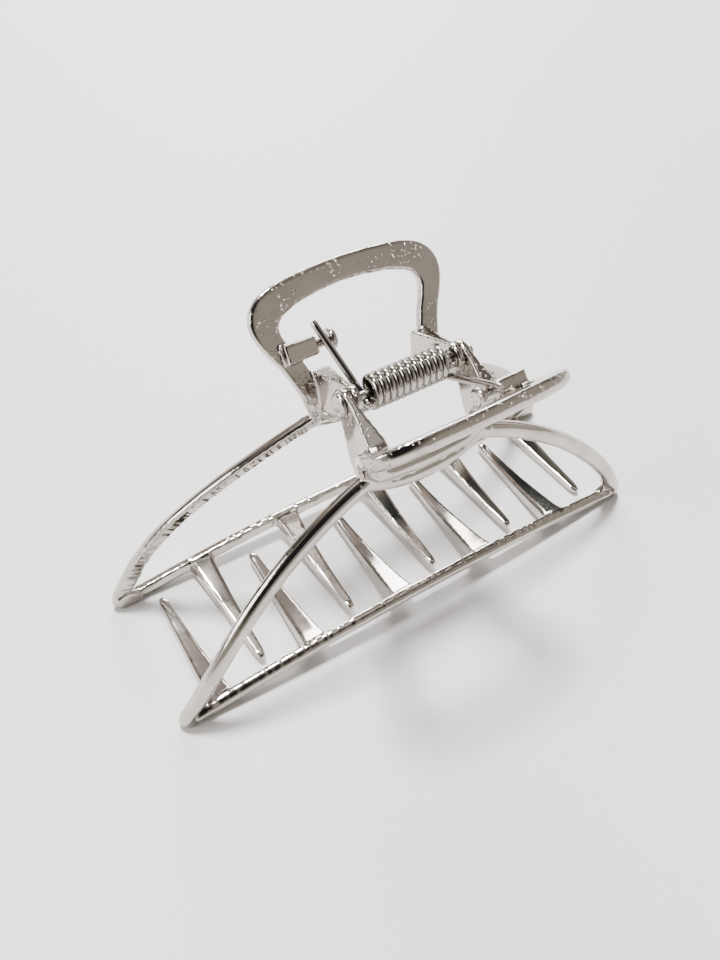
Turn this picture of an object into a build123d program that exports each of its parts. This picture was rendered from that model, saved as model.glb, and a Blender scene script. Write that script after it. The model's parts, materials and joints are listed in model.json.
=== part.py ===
from build123d import *
import math
import os

# A metal claw hair clip: two sprung jaws on one hinge pin, closed and standing on its jaw corners.
# Millimetres. X runs along the hinge pin, Z is up, and the origin is on the floor under the pin.
# The inner jaw lies on the +Y side. The outer jaw is on the -Y side, and its ears are outermost.

# Whole clip
HALF_LENGTH = 44.1
HINGE_HEIGHT = 38.8
TOOTH_PITCH = 16.35
FIRST_TOOTH_X = 4.25

# Casting thickness and bar widths
PLATE_THICKNESS = 1.8
HANDLE_THICKNESS = 2.4
ARM_WIDTH = 2.8
RAIL_HEIGHT = 2.2

# Side shape of a jaw's inner face, as (y, z)
HANDLE_LEAN = 40.4
FOOT_Y = 11.2
FACE_POINTS = [(11.5, 5.5), (11.15, 11.0), (9.7, 17.5), (8.0, 23.5), (6.4, 29.5), (5.95, 32.5)]
HANDLE_START = (7.2, 36.5)
HANDLE_TOP_Z = 48.5

# Front shape of a jaw, as (x, z), right half
ARM_PATH = [(8.6, 30.0), (26.7, 23.3), (37.2, 12.5), (42.6, 1.4)]
RAIL_WINDOW_X = 39.8
RAIL_FOOT_X = 37.6
RAIL_END_TOP_Z = 1.9
RAIL_RISE = 2.7
BAR_SHOULDER = (10.4, 27.9)
BAR_BOTTOM_Z = 25.8
HANDLE_OUTLINE = [(10.9, 31.2), (12.0, 35.2), (13.6, 39.2), (15.7, 42.6)]
HANDLE_CORNER = [(16.1, 44.4), (14.9, 46.3), (12.4, 47.5)]
WINDOW_SIDE = [(7.9, 33.2), (9.6, 38.0), (11.5, 41.4)]
WINDOW_CORNER = [(11.9, 42.9), (10.6, 44.4)]
WINDOW_BOTTOM_Z = 31.0
WINDOW_TOP_Z = 45.8

# Teeth
TOOTH_TIP_Y = -9.2
TOOTH_TIP_Z = 0.62
TOOTH_TIP_RISE = 1.3
TOOTH_ROOT_HALF_WIDTH = 1.85
TOOTH_TIP_RADIUS = 0.7
TOOTH_TIP_HALF_HEIGHT = 0.6
TOOTH_SAG = 0.15
TOOTH_SAG_RISE = 0.75

# Ears and pin
PIN_RADIUS = 0.6
PIN_HOLE_RADIUS = 0.65
EYE_RADIUS = 2.1
EAR_THICKNESS = 1.1
OUTER_EARS_X = (-9.45, 10.45)
INNER_EARS_X = (-8.15, 9.15)
EAR_ROOT_LOW = (6.9, 28.6)
EAR_ROOT_HIGH = (7.9, 36.6)
PIN_HEAD_RADIUS = 1.65
PIN_HEAD_THICKNESS = 0.8
PIN_END_X = 12.4
PIN_END_RADIUS = 0.85

# Spring pegs on the handles
PEG_HEIGHT = 40.5
PEG_SIZE = 2.7
PEG_PROUD = 1.9
PEG_ROOT_X = 13.0
PEG_SHOULDER_X = 8.1
PEG_NECK_RADIUS = 0.75
PEG_HEAD_X = 5.9
PEG_HEAD_RADIUS = 1.6
PEG_HEAD_THICKNESS = 1.1

# Torsion spring
WIRE_RADIUS = 0.56
COIL_RADIUS = 2.05
COIL_LEFT_X = -5.6
COIL_RIGHT_X = 7.05
LEG_HOOK_X = 7.3
COIL_SKIN = 0.03
LEG_OVERHANG = 2.8

TOP_SLOPE = math.radians(HANDLE_LEAN)
FACE_DIRECTION = (math.sin(TOP_SLOPE), math.cos(TOP_SLOPE))
FACE_NORMAL = (math.cos(TOP_SLOPE), -math.sin(TOP_SLOPE))


def handle_face_point(z):
    """The point (y, z) of the handle's flat inner face at a height z."""
    return (HANDLE_START[0] + (z - HANDLE_START[1]) * math.tan(TOP_SLOPE), z)


def side_band():
    """The curved sheet that a jaw is cut from: its side shape, run along X."""
    top = handle_face_point(HANDLE_START[1] + 0.5)
    low = [(FOOT_Y, -1.0)] + FACE_POINTS
    outer_low = [(FOOT_Y + PLATE_THICKNESS, -1.0)]
    outer_low += [(y + PLATE_THICKNESS, z - 0.1) for y, z in FACE_POINTS[:-1]]
    outer_bend = (FACE_POINTS[-1][0] + 2.35, FACE_POINTS[-1][1] - 0.4)
    outer_start = (HANDLE_START[0] + HANDLE_THICKNESS * FACE_NORMAL[0],
                   HANDLE_START[1] + HANDLE_THICKNESS * FACE_NORMAL[1])
    outer_top = (top[0] + HANDLE_THICKNESS * FACE_NORMAL[0], top[1] + HANDLE_THICKNESS * FACE_NORMAL[1])
    up = (0.05, 1.0)
    with BuildSketch(Plane.YZ) as profile:
        with BuildLine():
            Spline(*low, HANDLE_START, tangents=[up, FACE_DIRECTION])
            Line(HANDLE_START, top)
            Line(top, outer_top)
            Line(outer_top, outer_start)
            Spline(outer_start, outer_bend, *reversed(outer_low),
                   tangents=[(-FACE_DIRECTION[0], -FACE_DIRECTION[1]), (-up[0], -up[1])])
            Line(outer_low[0], low[0])
        make_face()
    return extrude(profile.sketch, amount=HALF_LENGTH + 1.0, both=True)


def mirrored_outline(half):
    """A closed outline from its right half, given from the bottom centre to the top centre."""
    return half + [half_edge.mirror(Plane.YZ) for half_edge in half]


def arm_edge(offset):
    """One long edge of the arm, beside its centre line, as a curve in the XZ plane."""
    path = Edge.make_bezier(*[Vector(x, 0, z) for x, z in ARM_PATH])
    points = []
    for step in range(9):
        place = step / 8
        direction = path.tangent_at(place)
        across = Vector(-direction.Z, 0, direction.X) * offset
        points.append(path.position_at(place) + across)
    return points


def handle_edge(points, top_z, flare, leaning):
    """Half of an edge of the handle, upwards from its first point, flat or on the sloping inner face."""
    slope = math.tan(TOP_SLOPE) if leaning else 0.0
    base = handle_face_point(0)[0] if leaning else 0.0
    curve = [Vector(x, base + slope * z, z) for x, z in points + [(0, top_z)]]
    return Edge.make_spline(curve, tangents=[Vector(flare, slope, 1), Vector(-1, 0, 0)])


def outer_outline():
    """The outside of a jaw seen from the front: rail, corner, arm and handle."""
    arm = [point for point in arm_edge(ARM_WIDTH / 2) if point.X > HANDLE_OUTLINE[0][0] + 1.0]
    notch = Vector(HANDLE_OUTLINE[0][0], 0, HANDLE_OUTLINE[0][1])
    toe = Vector(HALF_LENGTH, 0, 0.6)
    heel = Vector(HALF_LENGTH - 0.6, 0, 0)
    foot = Vector(RAIL_FOOT_X, 0, 0)
    arch = Vector(0, 0, RAIL_END_TOP_Z + RAIL_RISE - RAIL_HEIGHT)
    half = [
        Edge.make_three_point_arc(arch, rail_point(RAIL_WINDOW_X / 2, -RAIL_HEIGHT), foot),
        Edge.make_line(foot, heel),
        Edge.make_line(heel, toe),
        Edge.make_spline([toe] + list(reversed(arm)) + [notch]),
        handle_edge(HANDLE_OUTLINE + HANDLE_CORNER, HANDLE_TOP_Z, 0.2, False),
    ]
    return Face(Wire(mirrored_outline(half)))


def rail_point(x, drop):
    """A point of the arched rail's upper edge, or below it when drop is negative."""
    rise = RAIL_RISE * (1 - (x / RAIL_WINDOW_X) ** 2)
    return Vector(x, 0, RAIL_END_TOP_Z + rise + drop)


def jaw_window():
    """The large opening between the arms, the crossbar and the rail."""
    arm = [point for point in arm_edge(-ARM_WIDTH / 2) if point.X > BAR_SHOULDER[0] + 1.0][:-1]
    corner = Vector(RAIL_WINDOW_X, 0, RAIL_END_TOP_Z)
    shoulder = Vector(BAR_SHOULDER[0], 0, BAR_SHOULDER[1])
    half = [
        Edge.make_three_point_arc(rail_point(0, 0), rail_point(RAIL_WINDOW_X / 2, 0), corner),
        Edge.make_spline([corner] + list(reversed(arm)) + [shoulder]),
        Edge.make_spline([shoulder, Vector(5.4, 0, BAR_BOTTOM_Z + 0.7), Vector(0, 0, BAR_BOTTOM_Z)],
                         tangents=[Vector(-1, 0, -0.4), Vector(-1, 0, 0)]),
    ]
    return Face(Wire(mirrored_outline(half)))


def handle_window():
    """The finger hole in the handle, seen from the front."""
    corner = Vector(WINDOW_SIDE[0][0], 0, WINDOW_SIDE[0][1])
    half = [
        Edge.make_spline([Vector(0, 0, WINDOW_BOTTOM_Z), Vector(5.6, 0, WINDOW_BOTTOM_Z + 0.5), corner],
                         tangents=[Vector(1, 0, 0), Vector(0.4, 0, 1)]),
        handle_edge(WINDOW_SIDE + WINDOW_CORNER, WINDOW_TOP_Z, 0.35, False),
    ]
    return Face(Wire(mirrored_outline(half)))


def leaning_face(points, top_z, flare):
    """The area inside a handle edge on the sloping inner face, closed by a straight lower side."""
    edge = handle_edge(points, top_z, flare, True)
    foot = edge.position_at(0)
    base = Edge.make_line(Vector(-foot.X, foot.Y, foot.Z), foot)
    return Face(Wire([base, edge, edge.mirror(Plane.YZ)]))


def handle_loop():
    """The flat upper part of the handle, cut square to its inner face."""
    ring = leaning_face(HANDLE_OUTLINE + HANDLE_CORNER, HANDLE_TOP_Z, 0.2)
    ring -= leaning_face(WINDOW_SIDE + WINDOW_CORNER, WINDOW_TOP_Z, 0.35)
    loop = extrude(ring, amount=HANDLE_THICKNESS, dir=(0, *FACE_NORMAL))
    above = Box(2 * HALF_LENGTH, 20.0, 30.0, align=(Align.CENTER, Align.CENTER, Align.MIN))
    return loop & (Pos(0, *HANDLE_START) * Rot(-HANDLE_LEAN, 0, 0) * above)


def jaw_plate():
    """The pierced, curved body of a jaw on the +Y side, without teeth, ears or peg."""
    front = outer_outline() - jaw_window() - handle_window()
    block = extrude(front, amount=60.0, dir=(0, 1, 0))
    return (side_band() & block) + handle_loop()


def tooth(x):
    """One tapered tooth at x, from the rail of the +Y jaw to a rounded tip on the -Y side."""
    root = rail_point(abs(x), -RAIL_HEIGHT / 2).Z
    share = 1 - (x / RAIL_WINDOW_X) ** 2
    tip = TOOTH_TIP_Z + TOOTH_TIP_RISE * share
    root_y = FOOT_Y + PLATE_THICKNESS * 0.6
    sag = (root + tip) / 2 - TOOTH_SAG - TOOTH_SAG_RISE * share
    root_half = min(RAIL_HEIGHT / 2 - 0.1, root - 0.02)
    with BuildSketch(Plane.YZ) as side:
        with BuildLine():
            Spline((root_y, root + root_half), (1.0, sag + 0.75), (TOOTH_TIP_Y, tip + TOOTH_TIP_HALF_HEIGHT))
            Line((TOOTH_TIP_Y, tip + TOOTH_TIP_HALF_HEIGHT), (TOOTH_TIP_Y, tip - TOOTH_TIP_HALF_HEIGHT))
            Spline((TOOTH_TIP_Y, tip - TOOTH_TIP_HALF_HEIGHT), (1.0, sag - 0.75), (root_y, root - root_half))
            Line((root_y, root - root_half), (root_y, root + root_half))
        make_face()
    with BuildSketch(Plane.XY) as plan:
        with BuildLine():
            neck_y = TOOTH_TIP_Y + TOOTH_TIP_RADIUS
            Line((TOOTH_ROOT_HALF_WIDTH + 0.5, root_y), (TOOTH_ROOT_HALF_WIDTH, root_y - 2.2))
            Line((TOOTH_ROOT_HALF_WIDTH, root_y - 2.2), (TOOTH_TIP_RADIUS, neck_y))
            ThreePointArc((TOOTH_TIP_RADIUS, neck_y), (0, TOOTH_TIP_Y), (-TOOTH_TIP_RADIUS, neck_y))
            Line((-TOOTH_TIP_RADIUS, neck_y), (-TOOTH_ROOT_HALF_WIDTH, root_y - 2.2))
            Line((-TOOTH_ROOT_HALF_WIDTH, root_y - 2.2), (-TOOTH_ROOT_HALF_WIDTH - 0.5, root_y))
            Line((-TOOTH_ROOT_HALF_WIDTH - 0.5, root_y), (TOOTH_ROOT_HALF_WIDTH + 0.5, root_y))
        make_face()
    blade = extrude(side.sketch, amount=4.0, both=True) & extrude(plan.sketch, amount=12.0)
    return Pos(x, 0, 0) * blade


def tangent_point(point, side):
    """Where a line from a point touches the ear's eye; side is 1 or -1 for its two tangents."""
    distance = math.hypot(point[0], point[1] - HINGE_HEIGHT)
    bearing = math.atan2(point[1] - HINGE_HEIGHT, point[0])
    angle = bearing + side * math.acos(EYE_RADIUS / distance)
    return (EYE_RADIUS * math.cos(angle), HINGE_HEIGHT + EYE_RADIUS * math.sin(angle))


def ear(x):
    """One hinge ear of the +Y jaw: a flat plate from the jaw to a round eye on the pin."""
    with BuildSketch(Plane.YZ) as outline:
        high = tangent_point(EAR_ROOT_HIGH, 1)
        low = tangent_point(EAR_ROOT_LOW, -1)
        with BuildLine():
            Polyline(EAR_ROOT_LOW, EAR_ROOT_HIGH, high, (0, HINGE_HEIGHT), low, EAR_ROOT_LOW)
        make_face()
        with Locations((0, HINGE_HEIGHT)):
            Circle(EYE_RADIUS)
    plate = extrude(outline.sketch, amount=EAR_THICKNESS / 2, both=True)
    return Pos(x, 0, 0) * plate


def peg_axis():
    """The point (y, z) on the axis of the spring peg of the +Y jaw."""
    y, z = handle_face_point(PEG_HEIGHT)
    inset = PEG_SIZE / 2 - PEG_PROUD
    return (y + inset * FACE_NORMAL[0], z + inset * FACE_NORMAL[1])


def along_x(radius, start, end, y, z):
    """A round bar along X from start to end."""
    bar = Cylinder(radius, end - start, rotation=(0, 90, 0))
    return Pos((start + end) / 2, y, z) * bar


def spring_peg():
    """The square peg, neck and round head inside the handle of the +Y jaw, on its -X side."""
    y, z = peg_axis()
    length = PEG_ROOT_X - PEG_SHOULDER_X
    shank = Box(length, PEG_SIZE, PEG_SIZE)
    shank = Pos(-(PEG_ROOT_X + PEG_SHOULDER_X) / 2, y, z) * Rot(-HANDLE_LEAN, 0, 0) * shank
    neck = along_x(PEG_NECK_RADIUS, -PEG_SHOULDER_X - 0.5, -PEG_HEAD_X + 0.5, y, z)
    head = along_x(PEG_HEAD_RADIUS, -PEG_HEAD_X, -PEG_HEAD_X + PEG_HEAD_THICKNESS, y, z)
    return shank + neck + head


def jaw(ear_places, turned):
    """A whole jaw casting; the turned one is on the -Y side, with its ears given in its own frame."""
    body = jaw_plate()
    for number in range(5):
        body += tooth(FIRST_TOOTH_X + (2 - number) * TOOTH_PITCH)
    for place in ear_places:
        body += ear(-place if turned else place)
    body += spring_peg()
    hole = along_x(PIN_HOLE_RADIUS, -20.0, 20.0, 0, HINGE_HEIGHT)
    body -= hole
    if turned:
        body = Rot(0, 0, 180) * body
    return body


def hinge_pin():
    """The hinge pin, with a flat head at its -X end and a small upset at its free end."""
    head_face = OUTER_EARS_X[0] - EAR_THICKNESS / 2 - 0.05
    shaft = along_x(PIN_RADIUS, head_face - 0.2, PIN_END_X, 0, HINGE_HEIGHT)
    head = along_x(PIN_HEAD_RADIUS, head_face - PIN_HEAD_THICKNESS, head_face, 0, HINGE_HEIGHT)
    head = chamfer(head.edges().group_by(Axis.X)[0], 0.25)
    upset = along_x(PIN_END_RADIUS, PIN_END_X - 0.7, PIN_END_X, 0, HINGE_HEIGHT)
    return shaft + head + upset


def leg_line(sign):
    """The two ends (y, z) of a spring leg: on the coil, and past the peg's neck; sign is +1 at +Y."""
    y, z = peg_axis()
    reach = PEG_NECK_RADIUS + WIRE_RADIUS + 0.03
    span = math.hypot(y, z - HINGE_HEIGHT)
    bearing = math.atan2(z - HINGE_HEIGHT, y)
    heading = bearing + math.asin((COIL_RADIUS + reach) / span)
    start = (COIL_RADIUS * math.sin(heading), HINGE_HEIGHT - COIL_RADIUS * math.cos(heading))
    length = math.sqrt(span ** 2 - (COIL_RADIUS + reach) ** 2) + LEG_OVERHANG
    end = (start[0] + length * math.cos(heading), start[1] + length * math.sin(heading))
    return (sign * start[0], start[1]), (sign * end[0], end[1])


def round_bar(start, end, radius):
    """A round bar between two points."""
    axis = end - start
    return Plane(origin=start, z_dir=axis) * Cylinder(radius, axis.length,
                                                      align=(Align.CENTER, Align.CENTER, Align.MIN))


def torsion_spring():
    """The close-wound spring as its hollow outer shape, with its two straight legs."""
    wall = WIRE_RADIUS + COIL_SKIN
    outer = COIL_RADIUS + wall
    inner = COIL_RADIUS - wall
    left = COIL_LEFT_X - wall
    right = COIL_RIGHT_X + wall
    coil = along_x(outer, left, right, 0, HINGE_HEIGHT) - along_x(inner, left - 1, right + 1, 0, HINGE_HEIGHT)
    for sign, x in ((1, COIL_LEFT_X), (-1, COIL_RIGHT_X)):
        start, end = leg_line(sign)
        hook = Vector(-sign * LEG_HOOK_X, *end)
        coil += round_bar(Vector(x, *start), hook, WIRE_RADIUS)
    return coil


os.makedirs("parts", exist_ok=True)
export_step(jaw(OUTER_EARS_X, True), "parts/outer_jaw.step")
export_step(jaw(INNER_EARS_X, False), "parts/inner_jaw.step")
export_step(hinge_pin(), "parts/hinge_pin.step")
export_step(torsion_spring(), "parts/torsion_spring.step")
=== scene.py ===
"""Looks of a metal claw hair clip: two plated jaw castings, a hinge pin and a torsion spring."""

import json
import math

import bpy
import numpy as np
from mathutils import Matrix, Vector


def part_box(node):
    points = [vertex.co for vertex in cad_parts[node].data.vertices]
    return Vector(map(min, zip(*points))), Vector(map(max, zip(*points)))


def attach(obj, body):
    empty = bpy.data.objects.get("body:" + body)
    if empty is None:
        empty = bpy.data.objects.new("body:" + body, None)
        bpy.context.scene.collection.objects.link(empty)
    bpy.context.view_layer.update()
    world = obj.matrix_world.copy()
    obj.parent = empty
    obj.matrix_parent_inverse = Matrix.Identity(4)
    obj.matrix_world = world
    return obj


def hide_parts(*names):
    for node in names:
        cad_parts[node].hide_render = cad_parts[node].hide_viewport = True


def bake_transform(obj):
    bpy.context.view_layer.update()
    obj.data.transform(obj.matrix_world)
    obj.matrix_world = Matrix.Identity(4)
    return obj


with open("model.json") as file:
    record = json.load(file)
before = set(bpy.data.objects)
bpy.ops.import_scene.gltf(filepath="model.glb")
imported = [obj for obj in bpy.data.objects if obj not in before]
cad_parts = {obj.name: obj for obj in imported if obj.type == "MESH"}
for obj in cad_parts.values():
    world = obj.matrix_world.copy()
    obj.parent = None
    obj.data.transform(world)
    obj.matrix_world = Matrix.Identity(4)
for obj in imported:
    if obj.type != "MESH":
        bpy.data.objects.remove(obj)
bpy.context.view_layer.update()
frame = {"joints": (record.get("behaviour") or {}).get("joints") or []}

bl_info = {
    "name": "Claw Hair Clip",
    "version": (1, 0, 0),
    "blender": (4, 5, 0),
    "location": "View3D > Sidebar > Hair Clip",
    "description": "Builds a plated claw hair clip around its packed CAD frame",
    "category": "Add Mesh",
}

MM = 0.001

# Places that the frame gives, in millimetres
HINGE = np.array(frame["joints"][0]["pos_m"]) / MM
PIN_LOW, PIN_HIGH = (np.array(corner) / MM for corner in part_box("hinge_pin"))

# Side curve of a jaw's inner face, as (y, z), and the slope of its straight upper part
FACE_POINTS = [(11.2, -1.0), (11.5, 5.5), (11.15, 11.0), (9.7, 17.5),
               (8.0, 23.5), (6.4, 29.5), (5.95, 32.5)]
FACE_TOP = (7.2, 36.5)
FACE_TOP_RISES = (0.0, 1.5, 5.0, 14.0)
FACE_HEIGHTS = (-0.9, 50.0)
FACE_LEAN = math.radians(40.4)
FACE_ALONG = np.array([0.0, math.sin(FACE_LEAN), math.cos(FACE_LEAN)])
FACE_OUT = np.array([0.0, math.cos(FACE_LEAN), -math.sin(FACE_LEAN)])

# Centre line of an arm as a Bezier curve, as (x, z), with the arm's width at its two ends
ARM_PATH = np.array([(8.6, 30.0), (26.7, 23.3), (37.2, 12.5), (42.6, 1.4)])
ARM_WIDTH_TOP = 2.7
ARM_WIDTH_FOOT = 2.8
PLATE_DEPTH = 1.8
FLOOR_GAP = 0.05

# Crossbar and foot, as pairs of (x, z) on the bar's upper and lower edge
CROSSBAR_UPPER = [(0.0, 28.5), (4.0, 28.7), (7.5, 29.3), (9.6, 29.9), (11.6, 30.2)]
CROSSBAR_LOWER = [(0.0, 25.8), (4.0, 26.15), (7.2, 27.0), (9.6, 28.0), (11.6, 28.6)]
FOOT_OUTER = [(44.0, 0.85), (43.5, 0.1)]
FOOT_INNER = [(40.9, 0.2), (41.8, 0.03)]
PAD_TOP = [(39.2, 1.7), (40.4, 2.6), (41.8, 3.0), (43.2, 2.4)]
PAD_BOTTOM = [(39.2, 0.35), (40.4, 0.08), (41.8, 0.03), (43.2, 0.3)]
PAD_PROUD = 0.45
PAD_OVERLAP = 0.6

# Rail
RAIL_HALF_LENGTH = 41.6
RAIL_WINDOW_X = 39.8
RAIL_END_TOP = 1.9
RAIL_TOP_RISE = 2.7
RAIL_FOOT_X = 37.6
RAIL_BOTTOM_RISE = 2.4
LOWEST_Z = 0.02

# Handle, as pairs of (x, z) on its outline and on its finger hole
HANDLE_OUTSIDE = [(0.0, 28.3), (5.6, 28.6), (9.3, 29.5), (10.85, 31.4), (12.0, 35.2), (13.6, 39.2),
                  (15.7, 42.6), (16.0, 44.5), (14.8, 46.4), (12.4, 47.5), (6.2, 48.3), (0.0, 48.5)]
HANDLE_HOLE = [(0.0, 31.0), (4.4, 31.2), (6.9, 31.8), (7.95, 33.3), (8.75, 35.8), (10.0, 39.0),
               (11.5, 41.6), (11.95, 42.9), (11.5, 43.9), (10.2, 44.6), (5.2, 45.5), (0.0, 45.8)]
HANDLE_DEPTH = 2.4

# Teeth
TOOTH_PITCH = 16.35
FIRST_TOOTH_X = 4.25
TOOTH_ROOT_Y = 12.4
TOOTH_ROOT_DROP = 1.1
TOOTH_NARROWING = 0.1
TOOTH_TIP = (-9.2, 0.62, 1.3)
TOOTH_SAG = (0.15, 0.75)
TOOTH_WIDTHS = [(0.0, 2.6), (0.05, 2.15), (0.12, 1.85), (0.5, 1.28), (0.8, 0.92), (0.945, 0.76),
                (0.975, 0.62), (0.992, 0.4), (1.0, 0.1)]
TOOTH_HEIGHTS = [(0.0, 1.05), (0.12, 0.95), (0.5, 0.78), (0.945, 0.62), (0.975, 0.5),
                 (0.992, 0.32), (1.0, 0.1)]

# The share of a bar's depth at which its half round outside starts
ARM_SHOULDER = 0.3
BAR_SHOULDER = 0.35
HANDLE_SHOULDER = 0.42
PAD_SHOULDER = 0.9

# How square a section is: the power of its rounded box
BAR_SQUARENESS = 7
TOOTH_SQUARENESS = 9
PEG_SQUARENESS = 14

# Unevenness of the casting, as its size, pitch and seed
ARM_MARKS = (0.13, 1.2, 2.0)
ARM_FLASH = (0.05, 0.9, 5.0)
RAIL_BEADS = (0.09, 1.9, 1.0)
RAIL_BEAD_PATCHES = (0.4, 6.1, 7.0)
RAIL_RIBS = (0.045, 1.2, 4.0)
HOLE_FLASH = (0.07, 1.6, 9.0)

# Mesh points round a section, and steps along a piece or between two drawn points
SECTION_SIDES = 40
FACE_STEPS = 40
ARM_STEPS = 20
LOOP_STEPS = 14
PAD_STEPS = 12
RAIL_STEPS = 420
EAR_STEPS = 160
EAR_RINGS = 8
COIL_STEPS = 52
LEG_STEPS = 26

# Ears and pin
EYE_RADIUS = 2.1
EYE_HOLE_RADIUS = 0.68
EAR_HALF_THICKNESS = 0.55
EAR_ROOT_HALF_THICKNESS = 1.4
OUTER_EARS_X = (-9.45, 10.45)
INNER_EARS_X = (-8.15, 9.15)
EAR_ROOT_LOW = (6.9, 28.6)
EAR_ROOT_HIGH = (8.9, 37.7)
EAR_SWELL_START = 2.6
EAR_SWELL_SPAN = 5.0
PIN_RADIUS = 0.6

# Spring peg
PEG_HEIGHT = 40.5
PEG_HALF_SIZE = 1.35
PEG_PROUD = 1.9
PEG_ROOT_X = 13.0
PEG_SHOULDER_X = 8.1
PEG_NECK_RADIUS = 0.75
PEG_HEAD_X = 5.9
PEG_HEAD_RADIUS = 1.6
PEG_TAPER = (1.02, 1.0, 0.94)

# Spring
COIL_RADIUS = 2.05
COIL_LEFT_X = -5.6
COIL_RIGHT_X = 7.05
LEG_HOOK_X = 7.3
LEG_OVERHANG = 2.8
LEG_GAP = 0.03
LEG_EASE = 0.08
WIRE_RADIUS = 0.56
WIRE_END_SHARE = 0.8

# Camera and studio
CAMERA_PLACE = (-59.34, -71.25, 124.11)
CAMERA_AZIMUTH = -36.912
CAMERA_ELEVATION = 49.287
CAMERA_ROLL = 4.581
CAMERA_LENS = 33.6
CAMERA_SENSOR = 36
KEY_ANGLE = math.radians(12)
KEY_PLACE = (20, 240, 640)
WINDOW_SIZE = 0.3
BACK_WINDOW_PLACE = (260, 520, 330)
SIDE_WINDOW_PLACE = (-520, 120, 300)
FLOOR_RADIUS = 3000
FLOOR_FLAT_RADIUS = 1500
FLOOR_DISHING = 9000
FLOOR_SIDES = 96

# Colours that the metal reflects, as (place, colour), and the backdrop that the camera sees
BEHIND_THE_CLIP = ((0.38, (0.03, 0.04, 0.042)), (0.47, (0.34, 0.31, 0.28)),
                   (0.53, (0.62, 0.5, 0.45)), (0.6, (1.3, 1.24, 1.2)))
BEFORE_THE_CLIP = ((0.0, (0.64, 0.6, 0.54)), (0.3, (0.61, 0.57, 0.5)),
                   (0.6, (0.54, 0.5, 0.44)), (0.9, (0.12, 0.11, 0.1)))
ABOUT_THE_CAMERA = (0.025, 0.025, 0.028, 1)
BACKDROP = (1.5, 1.47, 1.46, 1)

# Specks show only on the handles, above this band of heights in metres
SPECK_BAND = (0.036, 0.040)


# ---------------------------------------------------------------- curves and skins

def spline_through(points, per_span):
    """A natural cubic spline through the points, read at even steps between each two of them."""
    points = np.asarray(points, float)
    last = len(points) - 1
    chord = np.linalg.norm(np.diff(points, axis=0), axis=1)
    knots = np.concatenate([[0.0], np.cumsum(chord)])
    inside = np.arange(1, last)
    matrix = np.eye(last + 1)
    matrix[inside, inside - 1] = chord[:-1]
    matrix[inside, inside] = 2 * (chord[:-1] + chord[1:])
    matrix[inside, inside + 1] = chord[1:]
    right = np.zeros_like(points)
    right[inside] = 6 * np.diff(np.diff(points, axis=0) / chord[:, None], axis=0)
    bend = np.linalg.solve(matrix, right)
    steps = np.linspace(0, last, last * per_span + 1)
    span = np.minimum(steps.astype(int), last - 1)
    width = chord[span][:, None]
    done = (steps - span)[:, None] * width
    left = width - done
    cubic = (bend[span] * left ** 3 + bend[span + 1] * done ** 3) / (6 * width)
    straight = (points[span] / width - bend[span] * width / 6) * left
    straight += (points[span + 1] / width - bend[span + 1] * width / 6) * done
    return cubic + straight


def mirrored(half):
    """Both sides of a line of (x, z) points that starts at x = 0, from left to right."""
    half = np.asarray(half, float)
    return np.vstack([half[:0:-1] * (-1, 1), half])


def loop_through(half, per_span):
    """A smooth closed line from its right half, which starts and ends at x = 0."""
    half = np.asarray(half, float)
    ring = np.vstack([half, half[-2:0:-1] * (-1, 1)])
    count = len(ring)
    wrapped = np.vstack([ring, ring, ring, ring[:1]])
    line = spline_through(wrapped, per_span)
    return line[count * per_span: 2 * count * per_span]


def face_curve():
    """The inner face seen from the side: its height, its y and its slope dy/dz, closely spaced."""
    above = [(FACE_TOP[0] + rise * math.tan(FACE_LEAN), FACE_TOP[1] + rise) for rise in FACE_TOP_RISES]
    line = spline_through(FACE_POINTS + above, FACE_STEPS)
    height = np.linspace(*FACE_HEIGHTS, 600)
    y = np.interp(height, line[:, 1], line[:, 0])
    return height, y, np.gradient(y, height)


FACE_Z, FACE_Y, FACE_SLOPE = face_curve()


def on_jaw(x, z, depth):
    """Points of the +Y jaw: at x and z on its inner face, and depth out of it along the face's normal,
    kept a hair above the floor."""
    y = np.interp(z, FACE_Z, FACE_Y)
    slope = np.interp(z, FACE_Z, FACE_SLOPE)
    normal = np.sqrt(1 + slope ** 2)
    height = np.maximum(z - depth * slope / normal, FLOOR_GAP)
    return np.stack([x, y + depth / normal, height], axis=-1)


def shell(grid, closed=False):
    """A closed skin over a grid of points: columns run round each section and rows along the piece.
    Rows that aren't closed end in a fan about the middle of the end section. Faces point outwards."""
    rows, columns = grid.shape[:2]
    index = np.arange(rows * columns).reshape(rows, columns)
    here = index if closed else index[:-1]
    ahead = np.roll(index, -1, axis=0) if closed else index[1:]
    quads = np.stack([here, np.roll(here, -1, axis=1), np.roll(ahead, -1, axis=1), ahead], axis=-1)
    quads = quads.reshape(-1, 4)
    points = grid.reshape(-1, 3)
    fans = np.zeros((0, 3), int)
    if not closed:
        points = np.vstack([points, grid[0].mean(axis=0), grid[-1].mean(axis=0)])
        first, last = index[0], index[-1]
        start = np.stack([np.roll(first, -1), first, np.full(columns, rows * columns)], axis=-1)
        end = np.stack([last, np.roll(last, -1), np.full(columns, rows * columns + 1)], axis=-1)
        fans = np.vstack([start, end])
    triangles = np.vstack([quads[:, [0, 1, 2]], quads[:, [0, 2, 3]], fans])
    corner = points[triangles]
    volume = np.einsum("ij,ij->", corner[:, 0], np.cross(corner[:, 1], corner[:, 2]))
    if volume < 0:
        quads, fans = quads[:, ::-1], fans[:, ::-1]
    return points, quads.tolist() + fans.tolist()


def joined(shells):
    """Several skins as one list of points and one list of faces."""
    points, faces, start = [], [], 0
    for shell_points, shell_faces in shells:
        points.append(shell_points)
        faces += [[corner + start for corner in face] for face in shell_faces]
        start += len(shell_points)
    return np.vstack(points), faces


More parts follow.
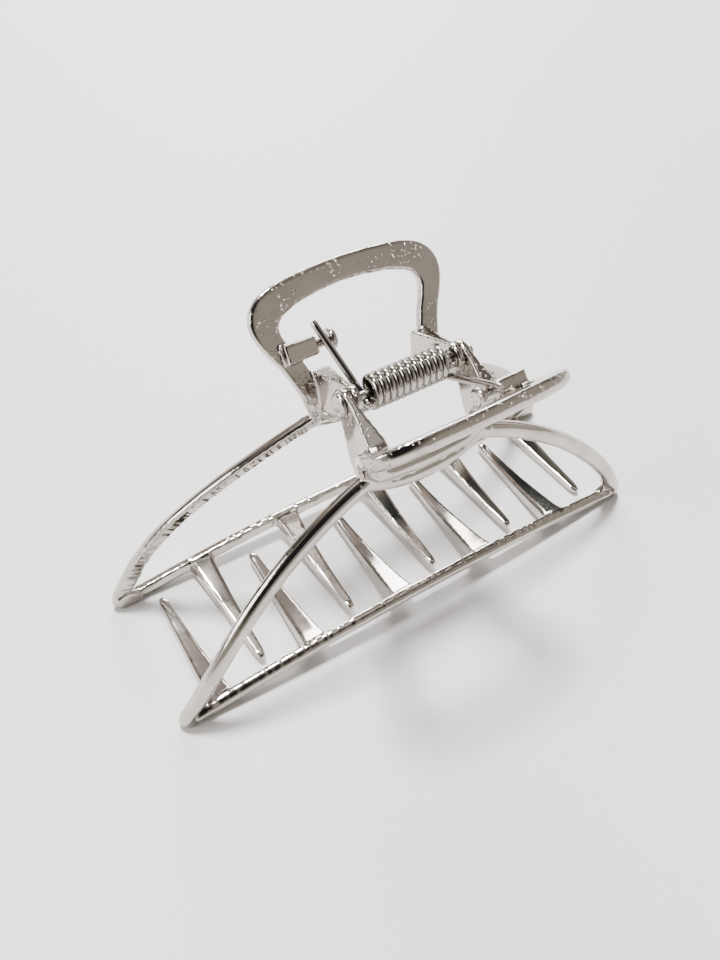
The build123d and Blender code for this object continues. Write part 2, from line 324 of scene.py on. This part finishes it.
def rounded_box_section(count, power):
    """A square with rounded corners as (a, b), each from -1 to 1: |a|^power + |b|^power = 1."""
    angle = np.linspace(0, 2 * math.pi, count, endpoint=False)
    a, b = np.cos(angle), np.sin(angle)
    return np.sign(a) * np.abs(a) ** (2 / power), np.sign(b) * np.abs(b) ** (2 / power)


def bar(first, second, depth, side, closed=False, hatch=None):
    """A cast bar between two edges drawn on the inner face: flat inside, half round outside.
    The outside follows half an ellipse that starts at the height side of the depth, and the inside is
    a square with rounded corners."""
    across, inner = rounded_box_section(SECTION_SIDES, BAR_SQUARENESS)
    angle = np.linspace(0, 2 * math.pi, SECTION_SIDES, endpoint=False)
    round_side = inner > 0
    across = np.where(round_side, np.cos(angle), across)
    deep = np.where(round_side, side + (1 - side) * np.sin(angle), side * (1 + inner))
    middle = (first + second) / 2
    half = (second - first) / 2
    x = middle[:, :1] + half[:, :1] * across
    z = middle[:, 1:] + half[:, 1:] * across
    out = depth * deep * np.ones_like(x)
    if hatch is not None:
        out = out + hatch[:, None] * (inner < -0.5)
    return shell(on_jaw(x, z, out), closed)


def uneven(place, waver, shift=0):
    """A wavering line of cast metal, from its size, pitch and seed: three sine waves whose phase drifts
    along it, and whose sum is its size at most. The shift changes the seed for a second line."""
    size, pitch, seed = waver
    seed = seed + shift
    turn = 2 * math.pi * place / pitch
    drift = 1.7 * np.sin(turn / 5.3 + seed) + 1.1 * np.sin(turn / 2.7 + 2 * seed)
    waves = np.sin(turn + drift) + 0.6 * np.sin(turn * 2.3 + seed) + 0.4 * np.sin(turn * 0.41 + 3 * seed)
    return size * (waves / 2)


# ---------------------------------------------------------------- the parts of a jaw

def arm_edges():
    """The outer and inner edge of an arm: its Bezier centre line, moved sideways by half its width."""
    t = np.linspace(0, 1, 12)[:, None]
    p = ARM_PATH
    centre = (1 - t) ** 3 * p[0] + 3 * t * (1 - t) ** 2 * p[1] + 3 * t ** 2 * (1 - t) * p[2] + t ** 3 * p[3]
    along = (1 - t) ** 2 * (p[1] - p[0]) + 2 * t * (1 - t) * (p[2] - p[1]) + t ** 2 * (p[3] - p[2])
    along /= np.linalg.norm(along, axis=1)[:, None]
    outwards = np.stack([-along[:, 1], along[:, 0]], axis=-1)
    half = (ARM_WIDTH_TOP + (ARM_WIDTH_FOOT - ARM_WIDTH_TOP) * t) / 2
    return centre + outwards * half, centre - outwards * half


def arm(side):
    """One arm, from under the handle to its foot; side is 1 at +X and -1 at -X."""
    outer, inner = arm_edges()
    upper = spline_through(np.vstack([outer, FOOT_OUTER]), ARM_STEPS) * (side, 1)
    lower = spline_through(np.vstack([inner, FOOT_INNER]), ARM_STEPS) * (side, 1)
    place = np.cumsum(np.linalg.norm(np.diff(lower, axis=0, prepend=lower[:1]), axis=1))
    hatch = uneven(place, ARM_MARKS, side)
    flash = uneven(place, ARM_FLASH, side)
    across = upper - lower
    lower = lower + flash[:, None] * across / np.linalg.norm(across, axis=1)[:, None]
    return bar(upper, lower, PLATE_DEPTH, ARM_SHOULDER, hatch=hatch)


def crossbar():
    """The crescent between the two arms, under the handle."""
    upper = spline_through(mirrored(CROSSBAR_UPPER), LOOP_STEPS)
    lower = spline_through(mirrored(CROSSBAR_LOWER), LOOP_STEPS)
    return bar(upper, lower, PLATE_DEPTH, BAR_SHOULDER)


def foot_pad(side):
    """The low boss inside a foot, at the end of the rail; side is 1 at +X and -1 at -X."""
    upper = spline_through(PAD_TOP, PAD_STEPS) * (side, 1)
    lower = spline_through(PAD_BOTTOM, PAD_STEPS) * (side, 1)
    points, faces = bar(upper, lower, PAD_PROUD + PAD_OVERLAP, PAD_SHOULDER)
    return points - (0.0, PAD_PROUD, 0.0), faces


def rail_top(x):
    """The height of the rail's upper edge, a parabola."""
    return RAIL_END_TOP + RAIL_TOP_RISE * (1 - (x / RAIL_WINDOW_X) ** 2)


def rail():
    """The arched bar that carries the teeth: both its edges are parabolas, and reach the floor at its
    ends. Beads along its top grow and shrink from patch to patch."""
    x = np.linspace(-RAIL_HALF_LENGTH, RAIL_HALF_LENGTH, RAIL_STEPS)
    top = rail_top(x) + uneven(x, RAIL_BEADS) * (0.6 + uneven(x, RAIL_BEAD_PATCHES))
    bottom = np.maximum(RAIL_BOTTOM_RISE * (1 - (x / RAIL_FOOT_X) ** 2), LOWEST_Z)
    upper, lower = np.stack([x, top], axis=-1), np.stack([x, bottom], axis=-1)
    return bar(upper, lower, PLATE_DEPTH, BAR_SHOULDER, hatch=uneven(x, RAIL_RIBS))


def handle():
    """The closed loop of the handle, with its finger hole."""
    outside, hole = loop_through(HANDLE_OUTSIDE, LOOP_STEPS), loop_through(HANDLE_HOLE, LOOP_STEPS)
    place = np.cumsum(np.linalg.norm(np.diff(hole, axis=0, prepend=hole[:1]), axis=1))
    inwards = (hole - outside) / np.linalg.norm(hole - outside, axis=1)[:, None]
    hole = hole + inwards * uneven(place, HOLE_FLASH)[:, None]
    return bar(outside, hole, HANDLE_DEPTH, HANDLE_SHOULDER, closed=True)


def tooth(x):
    """A tapered tooth at x: a square section with rounded corners, carried along a sagging line.
    Its half width and half height are read off two short profiles from root to tip."""
    tip_y, tip_z, tip_rise = TOOTH_TIP
    share = 1 - (x / RAIL_WINDOW_X) ** 2
    root_z = rail_top(x) - TOOTH_ROOT_DROP
    end_z = tip_z + tip_rise * share
    sag = TOOTH_SAG[0] + TOOTH_SAG[1] * share
    along = np.concatenate([np.linspace(0, 0.9, 50), np.linspace(0.91, 1, 14)])
    y = TOOTH_ROOT_Y + (tip_y - TOOTH_ROOT_Y) * along
    z = root_z + (end_z - root_z) * along - 4 * sag * along * (1 - along)
    width = np.interp(along, *np.transpose(TOOTH_WIDTHS))
    height = np.minimum(np.interp(along, *np.transpose(TOOTH_HEIGHTS)), z - LOWEST_Z)
    a, b = rounded_box_section(SECTION_SIDES, TOOTH_SQUARENESS)
    narrowing = 1 - TOOTH_NARROWING * b
    grid = np.stack([x + width[:, None] * a * narrowing,
                     np.repeat(y[:, None], SECTION_SIDES, axis=1),
                     z[:, None] + height[:, None] * b], axis=-1)
    return shell(grid)


def ear(x):
    """A hinge ear at x: a ring about the pin whose rim is star shaped. The rim is the eye's circle,
    and towards the jaw the nearest of its two tangent lines and the root line."""
    low = np.array(EAR_ROOT_LOW) - HINGE[1:]
    high = np.array(EAR_ROOT_HIGH) - HINGE[1:]
    up_tangent = math.atan2(high[1], high[0]) + math.acos(EYE_RADIUS / np.linalg.norm(high))
    low_tangent = math.atan2(low[1], low[0]) - math.acos(EYE_RADIUS / np.linalg.norm(low))
    side = high - low
    root_normal = np.array([side[1], -side[0]]) / np.linalg.norm(side)
    root_angle = math.atan2(root_normal[1], root_normal[0])
    angle = np.linspace(low_tangent, low_tangent + 2 * math.pi, EAR_STEPS, endpoint=False)

    def reach(direction, distance):
        facing = np.cos(angle - direction)
        return np.where(facing > 0.02, distance / np.maximum(facing, 0.02), 99.0)

    rim = np.minimum(reach(up_tangent, EYE_RADIUS), reach(low_tangent, EYE_RADIUS))
    rim = np.minimum(rim, reach(root_angle, float(low @ root_normal)))
    rim = np.where(angle < up_tangent, rim, EYE_RADIUS)
    share = np.concatenate([np.linspace(0, 1, EAR_RINGS), np.linspace(1, 0, EAR_RINGS)])
    radius = EYE_HOLE_RADIUS + (rim[:, None] - EYE_HOLE_RADIUS) * share
    swell = np.clip((radius - EAR_SWELL_START) / EAR_SWELL_SPAN, 0, 1)
    half = EAR_HALF_THICKNESS + (EAR_ROOT_HALF_THICKNESS - EAR_HALF_THICKNESS) * swell
    sign = np.where(np.arange(2 * EAR_RINGS) < EAR_RINGS, 1.0, -1.0)
    grid = np.stack([x + half * sign,
                     radius * np.cos(angle)[:, None],
                     HINGE[2] + radius * np.sin(angle)[:, None]], axis=-1)
    return shell(grid, closed=True)


def lathe(profile, y, z, segments=SECTION_SIDES):
    """A turned piece about a line along X at y and z, from its profile of (x, radius)."""
    x, radius = np.transpose(profile)
    angle = np.linspace(0, 2 * math.pi, segments, endpoint=False)
    grid = np.stack([np.repeat(x[:, None], segments, axis=1),
                     y + radius[:, None] * np.cos(angle),
                     z + radius[:, None] * np.sin(angle)], axis=-1)
    return shell(grid)


def peg_centre():
    """The axis of the +Y jaw's spring peg, as a point on the middle plane."""
    start = np.array([0.0, *FACE_TOP])
    rise = (PEG_HEIGHT - FACE_TOP[1]) / FACE_ALONG[2]
    return start + FACE_ALONG * rise + FACE_OUT * (PEG_HALF_SIZE - PEG_PROUD)


def peg():
    """The spring peg on the -X side of the handle: a square shank, a turned neck and a round head."""
    centre = peg_centre()
    x = np.array([-PEG_ROOT_X, -PEG_SHOULDER_X - 0.1, -PEG_SHOULDER_X])
    size = PEG_HALF_SIZE * np.array(PEG_TAPER)
    a, b = rounded_box_section(SECTION_SIDES, PEG_SQUARENESS)
    grid = (np.stack([x, 0 * x, 0 * x], axis=-1)[:, None, :] + centre
            + (size[:, None] * a)[..., None] * FACE_ALONG + (size[:, None] * b)[..., None] * FACE_OUT)
    neck, head = PEG_NECK_RADIUS, PEG_HEAD_RADIUS
    turned = [(-PEG_SHOULDER_X - 0.4, neck), (-PEG_HEAD_X - 0.1, neck), (-PEG_HEAD_X, head - 0.25),
              (-PEG_HEAD_X + 0.2, head), (-PEG_HEAD_X + 0.8, head), (-PEG_HEAD_X + 1.02, head - 0.2),
              (-PEG_HEAD_X + 1.1, head - 0.5)]
    return [shell(grid), lathe(turned, centre[1], centre[2])]


def jaw_skins(ears_x):
    """Every skin of the +Y jaw, which overlap where the casting runs together."""
    skins = [crossbar(), rail(), handle()] + peg()
    skins += [arm(side) for side in (1, -1)] + [foot_pad(side) for side in (1, -1)]
    skins += [tooth(FIRST_TOOTH_X + (2 - number) * TOOTH_PITCH) for number in range(5)]
    skins += [ear(x) for x in ears_x]
    return skins


# ---------------------------------------------------------------- pin and spring

def pin_profile():
    """The hinge pin from its riveted head to the small upset at its free end, as (x, radius)."""
    left, right = PIN_LOW[0], PIN_HIGH[0]
    head = PIN_HIGH[2] - HINGE[2]
    return [(left, 0.4), (left + 0.02, 0.95), (left + 0.1, head - 0.35), (left + 0.26, head - 0.06),
            (left + 0.36, head), (left + 0.68, head), (left + 0.8, head - 0.12), (left + 0.8, PIN_RADIUS),
            (right - 0.95, PIN_RADIUS), (right - 0.7, PIN_RADIUS + 0.06), (right - 0.55, 0.82),
            (right - 0.3, 0.85), (right - 0.12, 0.74), (right, 0.45)]


def leg_geometry():
    """Where the back leg leaves the coil: its heading in the YZ plane, and its length past the peg.
    The leg is the inner tangent between the coil's circle and the wire's path beside the peg's neck."""
    _, y, z = peg_centre()
    reach = PEG_NECK_RADIUS + WIRE_RADIUS + LEG_GAP
    span = math.hypot(y, z - HINGE[2])
    heading = math.atan2(z - HINGE[2], y) + math.asin((COIL_RADIUS + reach) / span)
    return heading, math.sqrt(span ** 2 - (COIL_RADIUS + reach) ** 2) + LEG_OVERHANG


def spring_path(turns):
    """The wire's centre line: straight leg, helix of close turns about the pin, straight leg."""
    heading, leg = leg_geometry()
    start, stop = -heading, heading + 2 * math.pi * turns
    angle = np.linspace(start, stop, int(COIL_STEPS * (turns + 0.3)))
    share = (angle - start) / (stop - start)
    coil = np.stack([COIL_RIGHT_X + (COIL_LEFT_X - COIL_RIGHT_X) * share,
                     COIL_RADIUS * np.sin(angle),
                     HINGE[2] - COIL_RADIUS * np.cos(angle)], axis=-1)
    place = np.linspace(0, 1, LEG_STEPS)[1:]
    eased = place - LEG_EASE * (1 - np.exp(-place / LEG_EASE))
    back = np.stack([COIL_LEFT_X + (-LEG_HOOK_X - COIL_LEFT_X) * eased / eased[-1],
                     coil[-1, 1] + leg * place * math.cos(heading),
                     coil[-1, 2] + leg * place * math.sin(heading)], axis=-1)
    front = np.stack([COIL_RIGHT_X + (LEG_HOOK_X - COIL_RIGHT_X) * eased / eased[-1],
                      coil[0, 1] - leg * place * math.cos(heading),
                      coil[0, 2] + leg * place * math.sin(heading)], axis=-1)
    return np.vstack([front[::-1], coil, back])


def wire(path, radius, sides=20):
    """A round wire along a path: each ring stands square to the path, with its ends slightly eased."""
    along = np.gradient(path, axis=0)
    along /= np.linalg.norm(along, axis=1)[:, None]
    across = np.cross(along, (1.0, 0.0, 0.0))
    across /= np.linalg.norm(across, axis=1)[:, None]
    up = np.cross(across, along)
    angle = np.linspace(0, 2 * math.pi, sides, endpoint=False)[:, None]
    size = np.full(len(path), radius)
    size[[0, -1]] *= WIRE_END_SHARE
    ring = np.cos(angle) * across[:, None, :] + np.sin(angle) * up[:, None, :]
    return shell(path[:, None, :] + ring * size[:, None, None])


# ---------------------------------------------------------------- meshes and objects

def mesh_object(name, points, faces, turned=False):
    """A new object from points in millimetres; a turned one is carried half round about Z."""
    sign = (-1.0, -1.0, 1.0) if turned else (1.0, 1.0, 1.0)
    mesh = bpy.data.meshes.new(name)
    mesh.from_pydata((points * sign * MM).tolist(), [], faces)
    mesh.validate()
    made = bpy.data.objects.new(name, mesh)
    bpy.context.scene.collection.objects.link(made)
    return made


def finished(made, smooth_angle=None):
    """Applies the object's modifiers to its mesh and shades it smooth."""
    depsgraph = bpy.context.evaluated_depsgraph_get()
    mesh = bpy.data.meshes.new_from_object(made.evaluated_get(depsgraph))
    made.modifiers.clear()
    rough = made.data
    made.data = mesh
    bpy.data.meshes.remove(rough)
    mesh.name = made.name
    mesh.shade_smooth()
    if smooth_angle is not None:
        mesh.set_sharp_from_angle(angle=smooth_angle)
    return made


def cast_together(made, grain, passes):
    """Melts overlapping skins into one casting of a fine even mesh, and softens its corners."""
    melt = made.modifiers.new("melt", "REMESH")
    melt.mode = "VOXEL"
    melt.voxel_size = grain
    soften = made.modifiers.new("soften", "SMOOTH")
    soften.factor = 0.5
    soften.iterations = passes
    return finished(made)


# ---------------------------------------------------------------- finishes

def node(tree, kind, inputs=None, **settings):
    """One shader node, with its settings and its inputs as values or links."""
    made = tree.nodes.new(kind)
    for name, value in settings.items():
        setattr(made, name, value)
    for name, value in (inputs or {}).items():
        if isinstance(value, bpy.types.NodeSocket):
            tree.links.new(value, made.inputs[name])
        else:
            made.inputs[name].default_value = value
    return made


def maths(tree, operation, first, second):
    """The result of one sum on two values or links."""
    return node(tree, "ShaderNodeMath", {0: first, 1: second}, operation=operation).outputs[0]


def ranged(tree, value, low, high, to_low=0.0, to_high=1.0):
    """A value stretched from one range to another and held inside it."""
    stretch = node(tree, "ShaderNodeMapRange", {"Value": value, "From Min": low, "From Max": high,
                                                "To Min": to_low, "To Max": to_high}, clamp=True)
    return stretch.outputs[0]


def plated_skin_group():
    """What bright plating does over the surface: slow ripples, fine peel, specks and dull patches."""
    tree = bpy.data.node_groups.new("plated_skin", "ShaderNodeTree")
    for name, default in (("Ripple", 0.02), ("Peel", 0.003), ("Specks", 0.03), ("Speck Cover", 0.5),
                          ("Roughness", 0.1), ("Dulling", 0.1)):
        socket = tree.interface.new_socket(name, in_out="INPUT", socket_type="NodeSocketFloat")
        socket.default_value = default
    for name in ("Height", "Roughness", "Dull"):
        tree.interface.new_socket(name, in_out="OUTPUT", socket_type="NodeSocketFloat")
    given = node(tree, "NodeGroupInput").outputs
    place = node(tree, "ShaderNodeTexCoord").outputs["Object"]
    slow = node(tree, "ShaderNodeTexNoise", {"Vector": place, "Scale": 260.0, "Detail": 1.5}).outputs[0]
    fine = node(tree, "ShaderNodeTexNoise", {"Vector": place, "Scale": 2100.0, "Detail": 2.0}).outputs[0]
    patch = node(tree, "ShaderNodeTexNoise", {"Vector": place, "Scale": 170.0, "Detail": 3.0}).outputs[0]
    cell = node(tree, "ShaderNodeTexVoronoi", {"Vector": place, "Scale": 1700.0, "Randomness": 1.0})
    covered = maths(tree, "GREATER_THAN", given["Speck Cover"], 0.0)
    height_up = node(tree, "ShaderNodeSeparateXYZ", {0: place}).outputs["Z"]
    handle_only = maths(tree, "MULTIPLY", ranged(tree, height_up, *SPECK_BAND), covered)
    gate = maths(tree, "MULTIPLY", ranged(tree, patch, 0.45, 0.53), handle_only)
    speck = maths(tree, "MULTIPLY", ranged(tree, cell.outputs["Distance"], 0.28, 0.1), gate)
    ripple = maths(tree, "MULTIPLY", slow, given["Ripple"])
    peel = maths(tree, "MULTIPLY", fine, given["Peel"])
    bumps = maths(tree, "MULTIPLY", speck, given["Specks"])
    height = maths(tree, "ADD", maths(tree, "ADD", ripple, peel), bumps)
    dull = maths(tree, "MULTIPLY", ranged(tree, patch, 0.35, 0.7), given["Dulling"])
    rough = maths(tree, "ADD", given["Roughness"], dull)
    node(tree, "NodeGroupOutput", {"Height": height, "Roughness": rough, "Dull": dull})
    return tree


def plated_metal(name, group, bright, dim, values):
    """A bright plated metal: its colour dims and its gloss falls a little in the group's dull patches."""
    material = bpy.data.materials.new(name)
    material.use_nodes = True
    tree = material.node_tree
    tree.nodes.clear()
    skin = node(tree, "ShaderNodeGroup", node_tree=group)
    for socket, value in values.items():
        skin.inputs[socket].default_value = value
    dullness = ranged(tree, skin.outputs["Dull"], 0.0, max(values["Dulling"], 0.01))
    tint = mixed(tree, dullness, (*bright, 1), (*dim, 1))
    bump = node(tree, "ShaderNodeBump", {"Height": skin.outputs["Height"], "Strength": 1.0, "Distance": MM})
    shader = node(tree, "ShaderNodeBsdfPrincipled", {"Base Color": tint, "Metallic": 1.0,
                                                     "Roughness": skin.outputs["Roughness"],
                                                     "Normal": bump.outputs[0]})
    node(tree, "ShaderNodeOutputMaterial", {"Surface": shader.outputs[0]})
    return material


# ---------------------------------------------------------------- settings

class ClipSizes(bpy.types.PropertyGroup):
    """Sizes that a user may change."""
    casting_grain: bpy.props.FloatProperty(
        name="Casting grain", description="Edge length of the cast jaws' even mesh",
        default=0.00022, min=0.00021, subtype="DISTANCE", unit="LENGTH", precision=5)
    softening: bpy.props.IntProperty(
        name="Softening", description="Smoothing passes over the cast jaws", default=3, min=0, max=20)
    coil_turns: bpy.props.IntProperty(
        name="Coil turns", description="Whole turns of the torsion spring", default=11, min=5, max=11)
    wire_radius: bpy.props.FloatProperty(
        name="Wire radius", description="Radius of the spring wire", default=WIRE_RADIUS * MM,
        subtype="DISTANCE", unit="LENGTH", precision=5)


class ClipFinish(bpy.types.PropertyGroup):
    """Colours that a user may change."""
    plating: bpy.props.FloatVectorProperty(
        name="Jaw plating", description="Colour of the plated castings", subtype="COLOR",
        size=3, default=(0.55, 0.515, 0.475), min=0, max=1)
    plating_dull: bpy.props.FloatVectorProperty(
        name="Dull plating", description="Colour of the castings' duller patches", subtype="COLOR",
        size=3, default=(0.44, 0.405, 0.37), min=0, max=1)
    spring: bpy.props.FloatVectorProperty(
        name="Spring wire", description="Colour of the plated spring wire", subtype="COLOR",
        size=3, default=(0.44, 0.415, 0.385), min=0, max=1)
    pin: bpy.props.FloatVectorProperty(
        name="Hinge pin", description="Colour of the plated pin", subtype="COLOR",
        size=3, default=(0.5, 0.48, 0.455), min=0, max=1)


class ClipStudio(bpy.types.PropertyGroup):
    """The floor and lights."""
    floor: bpy.props.FloatVectorProperty(
        name="Floor", description="Colour of the floor", subtype="COLOR",
        size=3, default=(0.83, 0.815, 0.81), min=0, max=1)
    key_strength: bpy.props.FloatProperty(
        name="Key light", description="Strength of the distant main light", default=6.0, min=0)
    window_power: bpy.props.FloatProperty(
        name="Window lights", description="Power of the two large soft lights",
        default=5.0, min=0, unit="POWER")


# ---------------------------------------------------------------- operators

class CLIP_OT_jaws(bpy.types.Operator):
    """Make both jaw castings"""
    bl_idname = "clip.jaws"
    bl_label = "Jaws"

    def execute(self, context):
        sizes, finish = context.scene.clip_sizes, context.scene.clip_finish
        metal = plated_metal("jaw_plating", bpy.data.node_groups["plated_skin"], finish.plating,
                             finish.plating_dull,
                             {"Ripple": 0.03, "Peel": 0.0015, "Specks": 0.13, "Speck Cover": 1.0,
                              "Roughness": 0.07, "Dulling": 0.07})
        for name, body, ears_x, turned in (("inner_jaw", "inner_half", INNER_EARS_X, False),
                                           ("outer_jaw", "outer_half", [-x for x in OUTER_EARS_X], True)):
            made = mesh_object(name + "_casting", *joined(jaw_skins(ears_x)), turned=turned)
            cast_together(made, sizes.casting_grain, sizes.softening)
            made.data.materials.append(metal)
            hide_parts(name)
            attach(made, body)
        return {"FINISHED"}


class CLIP_OT_pin(bpy.types.Operator):
    """Make the hinge pin"""
    bl_idname = "clip.pin"
    bl_label = "Hinge pin"

    def execute(self, context):
        finish = context.scene.clip_finish
        metal = plated_metal("pin_steel", bpy.data.node_groups["plated_skin"], finish.pin,
                             [0.85 * channel for channel in finish.pin],
                             {"Ripple": 0.02, "Peel": 0.003, "Specks": 0.01, "Speck Cover": 1.0,
                              "Roughness": 0.12, "Dulling": 0.1})
        points, faces = lathe(pin_profile(), HINGE[1], HINGE[2], 48)
        made = finished(mesh_object("hinge_pin_turned", points, faces), math.radians(35))
        made.data.materials.append(metal)
        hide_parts("hinge_pin")
        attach(made, "outer_half")
        return {"FINISHED"}


class CLIP_OT_spring(bpy.types.Operator):
    """Make the torsion spring"""
    bl_idname = "clip.spring"
    bl_label = "Torsion spring"

    def execute(self, context):
        sizes, finish = context.scene.clip_sizes, context.scene.clip_finish
        metal = plated_metal("spring_wire", bpy.data.node_groups["plated_skin"], finish.spring,
                             [0.82 * channel for channel in finish.spring],
                             {"Ripple": 0.015, "Peel": 0.002, "Specks": 0.008, "Speck Cover": 1.0,
                              "Roughness": 0.1, "Dulling": 0.1})
        points, faces = wire(spring_path(sizes.coil_turns), sizes.wire_radius / MM)
        made = finished(mesh_object("torsion_spring_wire", points, faces), math.radians(50))
        made.data.materials.append(metal)
        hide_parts("torsion_spring")
        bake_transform(made)
        return {"FINISHED"}


class CLIP_OT_stage(bpy.types.Operator):
    """Make the floor, lights, surroundings and camera"""
    bl_idname = "clip.stage"
    bl_label = "Stage"

    def execute(self, context):
        studio = context.scene.clip_studio
        make_floor(studio.floor)
        make_key_light(KEY_PLACE, studio.key_strength)
        make_window("back_light", BACK_WINDOW_PLACE, studio.window_power)
        make_window("side_light", SIDE_WINDOW_PLACE, 0.5 * studio.window_power)
        make_surroundings()
        make_camera()
        return {"FINISHED"}


def make_floor(colour):
    """A large plain floor, gently dished up at its far rim so that it has no hard edge."""
    radius = np.linspace(0, FLOOR_RADIUS, 40)[1:]
    angle = np.linspace(0, 2 * math.pi, FLOOR_SIDES, endpoint=False)
    rise = np.maximum(radius - FLOOR_FLAT_RADIUS, 0) ** 2 / FLOOR_DISHING
    grid = np.stack([radius[:, None] * np.cos(angle), radius[:, None] * np.sin(angle),
                     np.repeat(rise[:, None], FLOOR_SIDES, axis=1) - 0.01], axis=-1)
    index = np.arange(grid[..., 0].size).reshape(grid.shape[:2])
    quads = np.stack([index[:-1], index[1:], np.roll(index[1:], -1, axis=1),
                      np.roll(index[:-1], -1, axis=1)], axis=-1).reshape(-1, 4)
    floor = mesh_object("floor", grid.reshape(-1, 3), quads.tolist() + [index[0].tolist()])
    floor.data.shade_smooth()
    material = bpy.data.materials.new("pale_floor")
    material.use_nodes = True
    shader = material.node_tree.nodes["Principled BSDF"]
    shader.inputs["Base Color"].default_value = (*colour, 1)
    shader.inputs["Roughness"].default_value = 0.55
    floor.data.materials.append(material)


def aimed(name, lamp, place):
    """A light at a place in millimetres, facing the middle of the clip."""
    made = bpy.data.objects.new(name, lamp)
    made.location = Vector(place) * MM
    made.rotation_euler = (Vector((0, 0, 0.02)) - made.location).to_track_quat("-Z", "Y").to_euler()
    bpy.context.scene.collection.objects.link(made)


def make_key_light(place, strength):
    """A distant soft light from the direction of a place, which lights the whole floor evenly."""
    lamp = bpy.data.lights.new("key_light", "SUN")
    lamp.energy = strength
    lamp.angle = KEY_ANGLE
    aimed("key_light", lamp, place)


def make_window(name, place, power):
    """A large square light, like a window."""
    lamp = bpy.data.lights.new(name, "AREA")
    lamp.size = WINDOW_SIZE
    lamp.energy = power
    aimed(name, lamp, place)


def make_surroundings():
    """A dim studio: warm in front of the clip, patched pale and dark behind it, and dark about the
    camera's place. The camera itself sees a pale backdrop."""
    world = bpy.data.worlds.new("studio")
    bpy.context.scene.world = world
    world.use_nodes = True
    tree = world.node_tree
    tree.nodes.clear()
    direction = node(tree, "ShaderNodeTexCoord").outputs["Generated"]
    parts = node(tree, "ShaderNodeSeparateXYZ", {0: direction}).outputs
    clutter = node(tree, "ShaderNodeTexNoise", {"Vector": direction, "Scale": 2.6, "Detail": 1.5})
    behind = fade(tree, clutter.outputs[0], BEHIND_THE_CLIP)
    before = fade(tree, parts["Z"], BEFORE_THE_CLIP)
    around = mixed(tree, ranged(tree, parts["Y"], -0.35, 0.1), before, behind)
    toward = node(tree, "ShaderNodeVectorMath", {0: direction, 1: camera_side()}, operation="DOT_PRODUCT")
    shaded = mixed(tree, ranged(tree, toward.outputs["Value"], 0.78, 0.92), around, ABOUT_THE_CAMERA)
    seen = node(tree, "ShaderNodeLightPath").outputs["Is Camera Ray"]
    colour = mixed(tree, seen, shaded, BACKDROP)
    light = node(tree, "ShaderNodeBackground", {"Color": colour, "Strength": 1.0})
    node(tree, "ShaderNodeOutputWorld", {"Surface": light.outputs[0]})


def mixed(tree, share, first, second):
    """A colour between two colours or links; share is how far it is from the first to the second."""
    mix = node(tree, "ShaderNodeMix", data_type="RGBA")
    for socket, value in (("Factor", share), ("A", first), ("B", second)):
        if isinstance(value, bpy.types.NodeSocket):
            tree.links.new(value, mix.inputs[socket])
        else:
            mix.inputs[socket].default_value = value
    return mix.outputs["Result"]


def fade(tree, value, stops):
    """A colour that fades from stop to stop as a value rises; each stop is its place and its colour."""
    ramp = node(tree, "ShaderNodeValToRGB", {"Fac": value})
    points = ramp.color_ramp.elements
    points[0].position, points[1].position = stops[0][0], stops[-1][0]
    points[0].color, points[1].color = (*stops[0][1], 1), (*stops[-1][1], 1)
    for position, colour in stops[1:-1]:
        points.new(position).color = (*colour, 1)
    return ramp.outputs["Color"]


def camera_side():
    """The direction from the clip towards the camera."""
    azimuth, elevation = math.radians(CAMERA_AZIMUTH), math.radians(CAMERA_ELEVATION)
    return Vector((math.sin(azimuth) * math.cos(elevation), -math.cos(azimuth) * math.cos(elevation),
                   math.sin(elevation)))


def make_camera():
    """A camera above and to the left of the outer jaw, turned by its azimuth, elevation and roll."""
    azimuth, roll = math.radians(CAMERA_AZIMUTH), math.radians(CAMERA_ROLL)
    back = camera_side()
    level = Vector((math.cos(azimuth), math.sin(azimuth), 0))
    upright = back.cross(level)
    right = level * math.cos(roll) + upright * math.sin(roll)
    up = upright * math.cos(roll) - level * math.sin(roll)
    lens = bpy.data.cameras.new("camera")
    lens.lens = CAMERA_LENS
    lens.sensor_width = CAMERA_SENSOR
    lens.clip_start = 0.005
    made = bpy.data.objects.new("camera", lens)
    turn = Matrix((right, up, back)).transposed().to_4x4()
    made.matrix_world = Matrix.Translation(Vector(CAMERA_PLACE) * MM) @ turn
    bpy.context.scene.collection.objects.link(made)
    bpy.context.scene.camera = made


class CLIP_PT_panel(bpy.types.Panel):
    """The clip's pieces and settings"""
    bl_idname = "CLIP_PT_panel"
    bl_label = "Claw Hair Clip"
    bl_space_type = "VIEW_3D"
    bl_region_type = "UI"
    bl_category = "Hair Clip"

    def draw(self, context):
        for settings in (context.scene.clip_sizes, context.scene.clip_finish, context.scene.clip_studio):
            for name in settings.__annotations__:
                self.layout.prop(settings, name)
        for maker in OPERATORS:
            self.layout.operator(maker.bl_idname)


SETTINGS = (("clip_sizes", ClipSizes), ("clip_finish", ClipFinish), ("clip_studio", ClipStudio))
OPERATORS = (CLIP_OT_jaws, CLIP_OT_pin, CLIP_OT_spring, CLIP_OT_stage)


def register():
    """Adds the settings, operators and panel."""
    for name, group in SETTINGS:
        bpy.utils.register_class(group)
        setattr(bpy.types.Scene, name, bpy.props.PointerProperty(type=group))
    for maker in OPERATORS:
        bpy.utils.register_class(maker)
    bpy.utils.register_class(CLIP_PT_panel)


def unregister():
    """Takes the panel, operators and settings away."""
    bpy.utils.unregister_class(CLIP_PT_panel)
    for maker in reversed(OPERATORS):
        bpy.utils.unregister_class(maker)
    for name, group in reversed(SETTINGS):
        delattr(bpy.types.Scene, name)
        bpy.utils.unregister_class(group)


def main():
    """Builds the clip and its stage."""
    register()
    plated_skin_group()
    bpy.ops.clip.jaws()
    bpy.ops.clip.pin()
    bpy.ops.clip.spring()
    bpy.ops.clip.stage()


if __name__ == "__main__":
    main()
